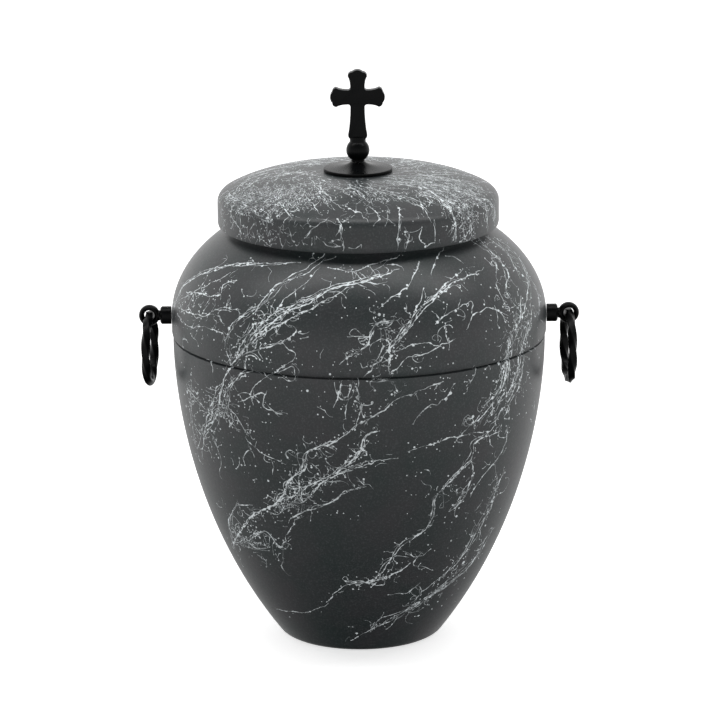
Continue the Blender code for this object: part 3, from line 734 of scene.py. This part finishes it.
def mist(skin, west, east, low, high, count, towards=90, scatter=0.8):
    """A cloud of fine fibres and drops that lean one way, thickest in its middle."""
    for _ in range(count):
        place = (math.radians((west + east) / 2 + (east - west) / 4 * chance.normal()),
                 np.clip((low + high) / 2 + (high - low) / 4 * chance.normal(), *LID_FAR) * MM)
        if chance.random() < MIST_DROPS:
            skin.drops.append((*place, chance.uniform(0.14, 0.28) * MM))
        else:
            wander(skin, place, math.radians(towards) + chance.normal(0, scatter),
                   chance.gamma(2.2, 1.6) * MM, chance.uniform(0.08, 0.20) * MM, 0.26, 0.2)


# Clouds of fibres on the dome and the skirt, denser on the left, on the right and behind
mist(cover, -70, -24, 50, 80, 620)
mist(cover, -84, -42, 72, 84, 220, 20, 0.6)
mist(cover, -56, -14, 84, 99, 60)
mist(cover, -90, -50, 84, 100, 30)
mist(cover, -8, 32, 40, 76, 80, 120)
mist(cover, 34, 84, 50, 84, 420, 100, 0.3)
mist(cover, 38, 60, 80, 100, 60)
mist(cover, 80, 280, 25, 80, 900, 20, 0.4)
mist(cover, 100, 260, 80, 99, 200)
mist(cover, -180, 180, 22, 60, 420, 30, 0.5)

# Rays on the right and the back of the lid
LID_RAYS = 90
for number in range(LID_RAYS):
    place = chance.uniform(30, 280)
    inner = chance.uniform(LID_FAR[0], 66)
    outer = min(inner + chance.uniform(10, 34), 98)
    drift = chance.uniform(4, 26)
    route = [(place + drift * t + chance.normal(0, 1.0), inner + (outer - inner) * t)
             for t in np.linspace(0, 1, 5)]
    band(cover, route, 1 + (number % 3 == 0), 0.9, chance.uniform(0.18, 0.34), 0.4,
         chance.uniform(0, 0.5), 0.2)

# Fine rays across the front of the dome, and a last cloud of fibres
band(cover, [(-26, 26), (-10, 38), (2, 52), (8, 66)], 6, 2.8, 0.24, 0.3, 0.3, 0.2)
band(cover, [(-6, 26), (10, 40), (24, 56), (32, 72)], 5, 3.0, 0.26, 0.2, 0.3, 0.2)
band(cover, [(-50, 26), (-34, 40), (-20, 58), (-12, 72)], 4, 3.0, 0.24, 0.2, 0.3, 0.2)
mist(cover, -60, -22, 40, 78, 260, 60, 0.4)


def row_of(path, rows):
    """Which row of a shell a path starts on."""
    return int(np.argmin(np.linalg.norm(np.array(rows) - path[0], axis=1)))


for shell, skin, run, path, rows in ((lower_shell, body, 0, lower_outer, lower_rows),
                                     (upper_shell, body, 1, upper_outer, upper_rows),
                                     (lid, cover, 0, lid_outer, lid_rows)):
    quads = Quads(shell, skin.place[run], row_of(path, rows), shell is not lid)
    lay_threads(quads, skin)
    lay_drops(quads, skin)


class Wire:
    """A socket in a material. Sums and products of wires add Math nodes."""

    def __init__(self, paint, socket):
        self.paint, self.socket = paint, socket

    def maths(self, operation, a, b):
        return self.paint.node("ShaderNodeMath", {"operation": operation}, {0: a, 1: b})

    def out(self, name):
        return Wire(self.paint, self.socket.node.outputs[name])

    def __add__(self, other):
        return self.maths("ADD", self, other)

    def __sub__(self, other):
        return self.maths("SUBTRACT", self, other)

    def __rsub__(self, other):
        return self.maths("SUBTRACT", other, self)

    def __mul__(self, other):
        return self.maths("MULTIPLY", self, other)

    def __truediv__(self, other):
        return self.maths("DIVIDE", self, other)

    def __pow__(self, other):
        return self.maths("POWER", self, other)

    def __abs__(self):
        return self.maths("ABSOLUTE", self, 0.0)

    __radd__ = __add__
    __rmul__ = __mul__

    def or_more(self, other):
        return self.maths("MAXIMUM", self, other)

    def clamped(self):
        return self.paint.node("ShaderNodeClamp", {}, {"Value": self})


class Paint:
    """A material with one Principled shader."""

    def __init__(self, name):
        self.material = bpy.data.materials.new(name)
        self.material.use_nodes = True
        self.tree = self.material.node_tree
        self.shader = self.tree.nodes["Principled BSDF"]
        self.place = self.node("ShaderNodeTexCoord", {}, {}, "Object")

    def node(self, kind, settings, inputs, output=0):
        """A node with its settings, then the values or wires of its inputs; gives one output."""
        made = self.tree.nodes.new(kind)
        for key, value in settings.items():
            setattr(made, key, value)
        self.fill(made, inputs)
        return Wire(self, made.outputs[output])

    def fill(self, node, inputs):
        for key, value in inputs.items():
            if isinstance(value, Wire):
                self.tree.links.new(value.socket, node.inputs[key])
            else:
                node.inputs[key].default_value = value

    def noise(self, size, detail=2.0, roughness=0.5):
        """Cloudy noise from 0 to 1 with features of a given size in metres."""
        return self.node("ShaderNodeTexNoise", {}, {"Vector": self.place, "Scale": 1 / size,
                                                    "Detail": detail, "Roughness": roughness})

    def mixed(self, share, a, b):
        """A colour between two colours."""
        return self.node("ShaderNodeMix", {"data_type": "RGBA"}, {0: share, 6: a, 7: b}, 2)

    def bump(self, height, depth):
        """A normal from a height of 0 to 1 and its depth in metres."""
        return self.node("ShaderNodeBump", {}, {"Height": height, "Distance": depth, "Strength": 1.0})

    def numbers(self, name):
        """The three numbers kept at the corners of the quads under one name."""
        vector = self.node("ShaderNodeAttribute", {"attribute_name": name}, {}, "Vector")
        parts = self.node("ShaderNodeSeparateXYZ", {}, {0: vector})
        return parts, parts.out("Y"), parts.out("Z")


EDGE_MM = 0.16          # how soft the edge of a thread is
WOBBLE_MM = 0.24        # how far its edges stray
BREAK_BELOW = 0.28      # where the noise along a thread is lower, it thins out
BREAK_RISE = 4.2        # how quickly it comes back
SPOT_TONE = 2.8         # how much the white changes within a few millimetres
PATCH_TONE = 1.8        # how much it changes from one part of the web to the next
MEAN_TONE = 0.98
CLOUD_CONTRAST = 3.0
DUST_CONTRAST = 2.2
PAINT_ROUGHNESS = 0.38
ORANGE_PEEL = 0.012 * MM
GREEN_GREY = (0.0205, 0.0300, 0.0300, 1)
PLUM_GREY = (0.0340, 0.0345, 0.0375, 1)
DUST_GREY = (0.0900, 0.0950, 0.1000, 1)
THREAD_WHITE = (0.88, 0.94, 0.96, 1)

marbled = Paint("marbled_charcoal")
stray = (marbled.noise(0.9 * MM) - 0.5) * WOBBLE_MM
breaks = marbled.noise(2.6 * MM)
web = None
for letter, bend in zip("abc", marbled.numbers("thread_bend")):
    aside, ahead, half_width = marbled.numbers("thread_" + letter)
    away = abs(aside - bend * ahead * ahead * 0.5 + stray)
    line = ((half_width * (breaks - BREAK_BELOW) * BREAK_RISE - away) / EDGE_MM + 0.5).clamped()
    web = line if web is None else web.or_more(line)
drop_x, drop_y, drop_radius = marbled.numbers("drop")
drop_away = (drop_x * drop_x + drop_y * drop_y) ** 0.5
web = web.or_more(((drop_radius - drop_away + stray) / EDGE_MM + 0.5).clamped())
spots = marbled.noise(4 * MM) - 0.5
patches = marbled.noise(24 * MM, 1.0) - 0.5
web = web * (spots * SPOT_TONE + patches * PATCH_TONE + MEAN_TONE).clamped()

clouds = ((marbled.noise(30 * MM, 4.0, 0.6) - 0.5) * CLOUD_CONTRAST + 0.5).clamped()
dust = ((marbled.noise(1.1 * MM, 3.0, 0.6) - 0.5) * DUST_CONTRAST).clamped()
ground = marbled.mixed(dust, marbled.mixed(clouds, GREEN_GREY, PLUM_GREY), DUST_GREY)
marbled.fill(marbled.shader, {
    "Base Color": marbled.mixed(web, ground, THREAD_WHITE),
    "Roughness": PAINT_ROUGHNESS + (marbled.noise(1.4 * MM, 3.0) - 0.5) * 0.16,
    "Normal": marbled.bump(marbled.noise(0.5 * MM), ORANGE_PEEL),
    "Specular IOR Level": 0.5,
})
for shell in (lower_shell, upper_shell, lid):
    shell.data.materials.append(marbled.material)


# Rosette: the small cast saucer on the lid's flat seat, a thin upright rim and a hollow-sided rise to the
# middle. It is painted satin black and clamped under the finial.

ROSETTE_EDGE = 0.0017
ROSETTE_HEIGHT = 0.0052
FINIAL_NECK_RADIUS = 0.0038
ROSETTE_LEDGE = 0.0003  # the rosette's top shows this much around the finial's neck
ROSETTE_TOP_RADIUS = FINIAL_NECK_RADIUS + ROSETTE_LEDGE
ROSETTE_SCOOP = (0.13, 0.61)
ROSETTE_FLARE = (0.55, 0.19)
ROSETTE_ROUND = 0.0004
ROSETTE_AROUND = 192

rosette_foot = dome_height(0) + GAP
rim_top = np.array([ROSETTE_RADIUS, rosette_foot + ROSETTE_EDGE])
rosette_top = np.array([ROSETTE_TOP_RADIUS, rosette_foot + ROSETTE_HEIGHT])
drop = rim_top - rosette_top
rise = curve(rosette_top, rosette_top + drop * ROSETTE_SCOOP, rim_top - drop * ROSETTE_FLARE,
             rim_top - (ROSETTE_ROUND, 0), 28)
rim = rounded(rise[-1], rim_top, rim_top - (0, ROSETTE_ROUND), 5)
rim_foot = rounded((ROSETTE_RADIUS, rosette_foot + ROSETTE_ROUND), (ROSETTE_RADIUS, rosette_foot),
                   (ROSETTE_RADIUS - ROSETTE_ROUND, rosette_foot), 4)
rosette = turned("saucer", joined((0, rosette_top[1]), rise, rim, rim_foot, (0, rosette_foot)),
                 around=ROSETTE_AROUND)
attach(rosette, "urn")
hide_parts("rosette")

SATIN_BLACK = (0.0018, 0.0020, 0.0022, 1)
DUSTY_BLACK = (0.0034, 0.0038, 0.0043, 1)
SATIN_ROUGHNESS = 0.30
SATIN_GRAIN = 0.03 * MM
satin = Paint("satin_black")
satin.fill(satin.shader, {
    "Base Color": satin.mixed(satin.noise(4 * MM, 3.0), SATIN_BLACK, DUSTY_BLACK),
    "Roughness": SATIN_ROUGHNESS + (satin.noise(1.2 * MM, 3.0) - 0.5) * 0.2,
    "Normal": satin.bump(satin.noise(0.8 * MM, 3.0), SATIN_GRAIN),
    "Specular IOR Level": 0.10,
})
rosette.data.materials.append(satin.material)


# Finial: one metal casting that stands on the rosette, with a short neck, a ball and a flat cross whose arms
# widen to rounded ends. Its edges are soft from the mould and the paint.

BALL_RADIUS = 0.0067
FINIAL_NECK_HEIGHT = 0.0009
CROSS_FOOT_RADIUS = 0.0046
CROSS_THICKNESS = 0.0052
CROSS_ROUND = 0.0012
CROSS_CENTRE = 0.0311
ARM_LENGTH = 0.0157
TOP_ARM_LENGTH = 0.0158
SHAFT_LENGTH = 0.0245
ARM_WAIST = 0.0041
ARM_END = 0.0055
ARM_CROWN = 0.0012
ARM_TIP_ROUND = 0.0024
ARM_FILLET = 0.0014
ARM_HOLLOW = 0.55       # where along an arm its side bends out, as a share of the arm
SOFTENED_CORNER = math.radians(50)
FINIAL_AROUND = 96


def joined_solid(name, base, *others):
    """One mesh piece from several overlapping ones."""
    for other in others:
        union = base.modifiers.new("Join", "BOOLEAN")
        union.operation = "UNION"
        union.object = other
    bpy.context.view_layer.update()
    mesh = bpy.data.meshes.new_from_object(base.evaluated_get(bpy.context.evaluated_depsgraph_get()))
    mesh.transform(base.matrix_world)
    for used in (base, *others):
        bpy.data.objects.remove(used, do_unlink=True)
    mesh.name = name
    mesh.shade_smooth()
    mesh.set_sharp_from_angle(angle=CRISP_EDGE)
    return placed(name, mesh)


def quarter_turns(count):
    """The matrix that turns rows of flat points by a number of right angles."""
    angle = math.radians(90) * count
    return np.array([[math.cos(angle), math.sin(angle)], [-math.sin(angle), math.cos(angle)]])


def arm(length, crown):
    """The cross's outline for one arm: fillet, hollow side, rounded tip, and the same back."""
    start = ARM_WAIST + ARM_FILLET
    fillet = rounded((ARM_WAIST, -start), (ARM_WAIST, -ARM_WAIST), (start, -ARM_WAIST), 8)
    tip_x = length - crown
    bend = start + (tip_x - start) * ARM_HOLLOW
    side_end = (tip_x - ARM_TIP_ROUND, -ARM_END)
    side = curve(fillet[-1], (bend, -ARM_WAIST), side_end, side_end, 12)
    tip = rounded(side_end, (tip_x, -ARM_END), (tip_x, -ARM_END + ARM_TIP_ROUND), 8)
    across = np.linspace(-ARM_END + ARM_TIP_ROUND, 0, 6)
    reach = (across / (ARM_END - ARM_TIP_ROUND)) ** 2
    end = np.column_stack([length - crown * reach, across])
    lower = joined(fillet, side, tip, end)
    upper = joined(side, tip, end)[::-1][1:] * (1, -1)
    return np.vstack([lower, upper])


def cross_outline():
    """The cross seen from the front, its middle at (0, 0)."""
    outline = []
    for degrees, length, crown in ((0, ARM_LENGTH, ARM_CROWN), (90, TOP_ARM_LENGTH, ARM_CROWN),
                                   (180, ARM_LENGTH, ARM_CROWN), (270, SHAFT_LENGTH, 0)):
        outline.append(arm(length, crown) @ quarter_turns(degrees / 90))
    return joined(*outline)[:-1]


finial_foot = rosette_foot + ROSETTE_HEIGHT + GAP
ball_centre = finial_foot + FINIAL_NECK_HEIGHT + math.sqrt(BALL_RADIUS**2 - FINIAL_NECK_RADIUS**2)
cross_middle = ball_centre + CROSS_CENTRE
cross_foot = cross_middle - SHAFT_LENGTH
ball_angles = np.linspace(math.acos(CROSS_FOOT_RADIUS / BALL_RADIUS),
                          -math.acos(FINIAL_NECK_RADIUS / BALL_RADIUS), 32)
ball_rows = [(BALL_RADIUS * math.cos(a), ball_centre + BALL_RADIUS * math.sin(a)) for a in ball_angles]
ball = turned("ball", joined((0, cross_foot + CROSS_ROUND), (CROSS_FOOT_RADIUS, cross_foot + CROSS_ROUND),
                             ball_rows, (FINIAL_NECK_RADIUS, finial_foot), (0, finial_foot)),
              around=FINIAL_AROUND)
cross_mesh = bpy.data.meshes.new("cross")
outline = cross_outline()
count = len(outline)
front = [(x, -CROSS_THICKNESS / 2, cross_middle + z) for x, z in outline]
back = [(x, CROSS_THICKNESS / 2, cross_middle + z) for x, z in outline]
sides = [(i, i + count, (i + 1) % count + count, (i + 1) % count) for i in range(count)]
faces = sides + [tuple(range(count)), tuple(range(2 * count - 1, count - 1, -1))]
cross_mesh.from_pydata(front + back, [], faces)
cross = placed("cross", cross_mesh)
soften = cross.modifiers.new("Soften", "BEVEL")
soften.width = CROSS_ROUND
soften.segments = 5
soften.limit_method = "ANGLE"
soften.angle_limit = SOFTENED_CORNER
finial = joined_solid("cross_casting", ball, cross)
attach(finial, "urn")
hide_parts("cross_finial")
finial.data.materials.append(satin.material)


# Handles: on each side a round collar butts on the wall, and a thick round eye, cast with a short stem,
# stands on its end. Both are painted black with the rest of the fittings.

HANDLE_ABOVE_SEAM = 0.0105
HANDLE_HEIGHT = SEAM_HEIGHT + HANDLE_ABOVE_SEAM
COLLAR_RADIUS = 0.0052
COLLAR_LENGTH = 0.0063
COLLAR_CHAMFER = 0.0009
COLLAR_FILLET = 0.0004
EYE_THICKNESS = 0.0031
EYE_WIDTH = 0.0062
EYE_NECK_RADIUS = 0.0030
BAR_SIDE = 0.0042
BAR_CHAMFER = 0.0007
RING_PLAY = 0.0005
HANDLE_TURN = math.radians(5.0)     # each eye stands a little askew, as in the photo
EYE_HOLE_RADIUS = math.hypot(BAR_SIDE / 2, BAR_SIDE / 2 - BAR_CHAMFER) + RING_PLAY
EYE_RADIUS = EYE_HOLE_RADIUS + EYE_THICKNESS
wall_above = max(HANDLE_HEIGHT - COLLAR_RADIUS - WIDEST_HEIGHT, 0)
COLLAR_START = BODY_RADIUS * math.sqrt(1 - (wall_above / SHOULDER_RISE) ** 2) + GAP
EYE_CENTRE = COLLAR_START + COLLAR_LENGTH + GAP + EYE_RADIUS
COLLAR_AROUND = 96
EYE_SECTION = 36        # points around the eye's section


def collar(name, side):
    """The boss on the wall, lying along X, with a chamfered outer end."""
    shoulder = (COLLAR_RADIUS, COLLAR_LENGTH - COLLAR_CHAMFER)
    end = (COLLAR_RADIUS - COLLAR_CHAMFER, COLLAR_LENGTH)
    bevel = rounded(end, (COLLAR_RADIUS - COLLAR_FILLET, COLLAR_LENGTH - COLLAR_FILLET), shoulder, 6)
    piece = turned(name, joined((0, COLLAR_LENGTH), bevel, (COLLAR_RADIUS, 0), (0, 0)), around=COLLAR_AROUND)
    piece.data.transform(Matrix.Translation((side * COLLAR_START, 0, HANDLE_HEIGHT))
                         @ Matrix.Rotation(side * math.radians(90), 4, "Y"))
    return piece


def eye(name, side):
    """The round eye, its hole running front to back, united with its stem."""
    middle = EYE_HOLE_RADIUS + EYE_THICKNESS / 2
    angles = math.radians(90) - np.arange(EYE_SECTION) * math.tau / EYE_SECTION
    section = np.column_stack([middle + EYE_THICKNESS / 2 * np.cos(angles), EYE_WIDTH / 2 * np.sin(angles)])
    loop = turned("loop", section, closed=True, around=COLLAR_AROUND)
    loop.data.transform(Matrix.Rotation(math.radians(90), 4, "X"))
    stem = turned("stem", [(0, -middle), (EYE_NECK_RADIUS, -middle), (EYE_NECK_RADIUS, -EYE_RADIUS),
                           (0, -EYE_RADIUS)], around=48)
    stem.data.transform(Matrix.Rotation(side * math.radians(90), 4, "Y"))
    piece = joined_solid(name, loop, stem)
    piece.data.transform(Matrix.Translation((side * EYE_CENTRE, 0, HANDLE_HEIGHT))
                         @ Matrix.Rotation(side * HANDLE_TURN, 4, "Z"))
    return piece


for side_name, side in (("left", -1), ("right", 1)):
    boss = collar(side_name + "_boss", side)
    hoop = eye(side_name + "_hoop", side)
    for piece, node in ((boss, "collar"), (hoop, "eye")):
        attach(piece, "urn")
        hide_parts(side_name + "_" + node)
        piece.data.materials.append(satin.material)


# Rings: a drop ring in each eye, bent from square bar that was twisted first, its four edges worn soft.
# Each swings about the inside of its eye.

RING_RADIUS = 0.0195
BAR_TURNS = 2
RING_STEPS = 240
BAR_CORNER_STEPS = 5


def drop_ring(name, side):
    """The twisted ring: its bar's centre line is a circle that hangs from the middle of the eye."""
    half = BAR_SIDE / 2
    inner = half - BAR_CHAMFER
    one = rounded((half, inner), (half, half), (inner, half), BAR_CORNER_STEPS)
    section = np.vstack([one @ quarter_turns(corner) for corner in range(4)])
    points = []
    for i in range(RING_STEPS):
        angle = math.tau * i / RING_STEPS
        out = np.array([0, math.sin(angle), math.cos(angle)])
        twist = BAR_TURNS * angle
        across = section[:, 0] * math.cos(twist) - section[:, 1] * math.sin(twist)
        away = section[:, 0] * math.sin(twist) + section[:, 1] * math.cos(twist)
        centre = out * RING_RADIUS - (0, 0, RING_RADIUS)
        points.append(centre + away[:, None] * out + across[:, None] * np.array([1, 0, 0]))
    count = len(section)
    faces = [(i * count + j, i * count + (j + 1) % count,
              (i + 1) % RING_STEPS * count + (j + 1) % count, (i + 1) % RING_STEPS * count + j)
             for i in range(RING_STEPS) for j in range(count)]
    mesh = bpy.data.meshes.new(name)
    mesh.from_pydata(np.vstack(points).tolist(), [], faces)
    turn = HANDLE_TURN if side > 0 else math.pi - HANDLE_TURN
    mesh.transform(Matrix.Translation((side * EYE_CENTRE, 0, HANDLE_HEIGHT)) @ Matrix.Rotation(turn, 4, "Z"))
    mesh.shade_smooth()
    return placed(name, mesh)


for side_name, side in (("left", -1), ("right", 1)):
    ring = drop_ring(side_name + "_drop_ring", side)
    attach(ring, side_name + "_ring")
    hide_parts(side_name + "_ring")
    ring.data.materials.append(satin.material)


# Studio: a pale glowing floor that only the camera and the shadows meet, a room that is brightest at table
# height, a white backdrop behind the urn, and one wide soft light overhead.

FLOOR_SIZE = 12.0
FLOOR_WHITE = (0.93, 0.93, 0.93, 1)
TABLE_GLOW = 0.65       # the floor is a light table
ROOM_LIGHT = 1.03       # brightness of the room at its brightest height
ROOM_HEIGHT = -0.09     # that height, as the Z of a direction one unit long
ROOM_FALL = 1.05        # how fast the room dims above and below
BEHIND = 0.34           # what a white backdrop adds behind the urn
BEHIND_RISE = 1.5       # how much the backdrop brightens upward
BEHIND_FADE = 1.5       # how sharply it begins at its sides
BEHIND_REACH = 0.35     # how far it comes round
OVERHEAD_POWER = 17.0
OVERHEAD_WIDTH = 3.2
OVERHEAD_DEPTH = 0.4
OVERHEAD_PLACE = Vector((0.0, -0.15, 1.55))
OVERHEAD_AIM = Vector((0, 0, 0.2))
CAMERA_PLACE = Vector((0.0004, -2.500, 0.8093))
CAMERA_PITCH = math.radians(14.50)
CAMERA_ROLL = math.radians(-0.40)
CAMERA_LENS = 222.0     # millimetres
CAMERA_SENSOR = 36.0    # millimetres across

reach = FLOOR_SIZE / 2
floor_corners = [(-reach, -reach, 0), (reach, -reach, 0), (reach, reach, 0), (-reach, reach, 0)]
floor_mesh = bpy.data.meshes.new("floor")
floor_mesh.from_pydata(floor_corners, [], [(0, 1, 2, 3)])
floor = placed("floor", floor_mesh)
floor.visible_diffuse = False
floor.visible_glossy = False
floor_paint = Paint("pale_floor")
floor_paint.fill(floor_paint.shader, {"Base Color": FLOOR_WHITE, "Roughness": 0.9,
                                      "Emission Color": (1, 1, 1, 1), "Emission Strength": TABLE_GLOW})
floor_mesh.materials.append(floor_paint.material)


class Surroundings(Paint):
    """The world's own nodes, with its directions as the place."""

    def __init__(self, name):
        self.world = bpy.data.worlds.new(name)
        self.world.use_nodes = True
        self.tree = self.world.node_tree
        self.shader = self.tree.nodes["Background"]
        self.place = self.node("ShaderNodeTexCoord", {}, {}, "Generated")


room = Surroundings("studio")
direction = room.node("ShaderNodeSeparateXYZ", {}, {0: room.place})
behind = (direction.out("Y") * BEHIND_FADE + BEHIND_REACH).clamped() * (direction.out("Z") * BEHIND_RISE + 1)
level = (1 - abs(direction.out("Z") - ROOM_HEIGHT) * ROOM_FALL).clamped()
room.fill(room.shader, {"Color": (1, 1, 1, 1), "Strength": behind * BEHIND + level * ROOM_LIGHT})
bpy.context.scene.world = room.world
bpy.context.scene.view_settings.view_transform = "Standard"

overhead_light = bpy.data.lights.new("overhead", "AREA")
overhead_light.energy = OVERHEAD_POWER
overhead_light.shape = "RECTANGLE"
overhead_light.size = OVERHEAD_WIDTH
overhead_light.size_y = OVERHEAD_DEPTH
overhead = placed("overhead", overhead_light)
overhead.location = OVERHEAD_PLACE
overhead.rotation_euler = (OVERHEAD_AIM - OVERHEAD_PLACE).to_track_quat("-Z", "Y").to_euler()

camera_data = bpy.data.cameras.new("camera")
camera_data.sensor_width = CAMERA_SENSOR
camera_data.lens = CAMERA_LENS
camera = placed("camera", camera_data)
camera.matrix_world = (Matrix.Translation(CAMERA_PLACE)
                       @ Matrix.Rotation(math.radians(90) - CAMERA_PITCH, 4, "X")
                       @ Matrix.Rotation(CAMERA_ROLL, 4, "Z"))
bpy.context.scene.camera = camera
